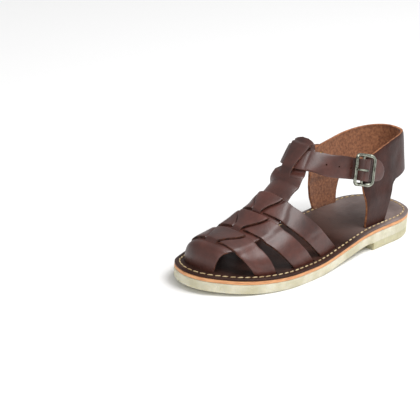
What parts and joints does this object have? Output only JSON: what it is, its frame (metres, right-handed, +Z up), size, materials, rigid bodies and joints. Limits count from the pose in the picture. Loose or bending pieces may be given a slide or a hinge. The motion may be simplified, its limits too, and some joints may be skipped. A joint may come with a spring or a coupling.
{
  "type": "huarache sandal",
  "caption": "Fisherman-type sandal for the left foot: woven leather straps on a crepe sole, with a buckled ankle strap and an open back.",
  "frame": {"origin": "middle of the shoe's box, on the floor", "axes": "toe towards -Y, heel towards +Y, outer side of the left foot +X, +Z up from the floor"},
  "size_m": [0.095, 0.2758, 0.1038],
  "materials": {
    "crepe": "matt pale crepe rubber",
    "natural_leather": "raw natural tan leather",
    "insole_leather": "dark brown waxed leather",
    "brown_leather": "glossy oiled dark red-brown leather with tan cut edges",
    "nickel": "aged nickel plate",
    "brass": "dull brass"
  },
  "bodies": {
    "root": {"outsole": "crepe", "heel": "crepe", "midsole": "natural_leather", "insole": "insole_leather", "upper": "brown_leather", "heel_quarter": "brown_leather", "ankle_strap": "brown_leather", "buckle": "nickel", "buckle_prong": "nickel", "strap_rivet": "brass", "buckle_rivet": "brass"}
  },
  "joints": []
}
